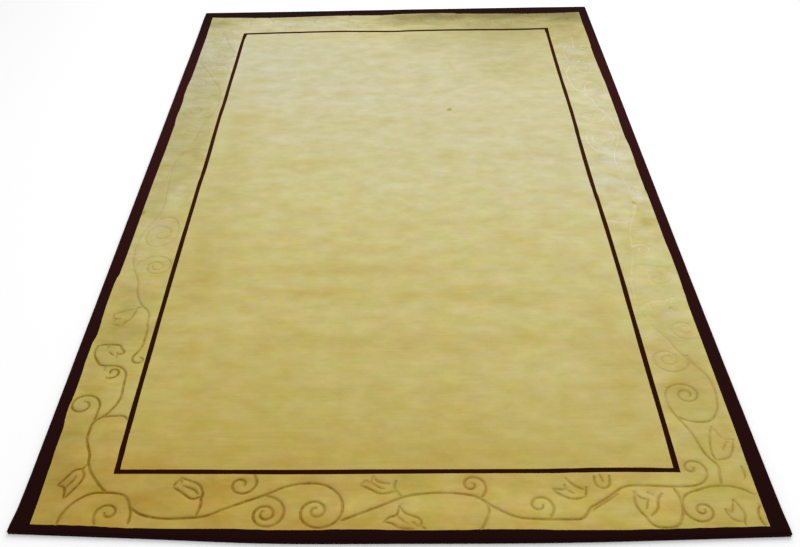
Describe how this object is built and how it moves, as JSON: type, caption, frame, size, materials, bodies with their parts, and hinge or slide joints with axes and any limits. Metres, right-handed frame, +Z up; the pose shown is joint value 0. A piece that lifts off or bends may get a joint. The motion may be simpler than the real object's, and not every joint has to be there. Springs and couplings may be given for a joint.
{
  "type": "hand-knotted rug",
  "caption": "Flat rectangular hand-knotted wool rug with a plain field, a thin inner line, a dark outer band and a scrolling vine carved into the pile of its border; it lies on a floor.",
  "frame": {"origin": "middle of the underside, on the floor", "axes": "+Z up out of the pile, +Y along the length of the rug towards its far end in the picture, +X across it to the picture's right"},
  "size_m": [1.502, 2.5315, 0.012],
  "materials": {
    "wool_pile": "matt golden khaki wool pile in soft bands of shade, with a near-black maroon outer band, a thin dark brown inner line and brown carved lines"
  },
  "bodies": {
    "root": {"rug": "wool_pile"}
  },
  "joints": []
}
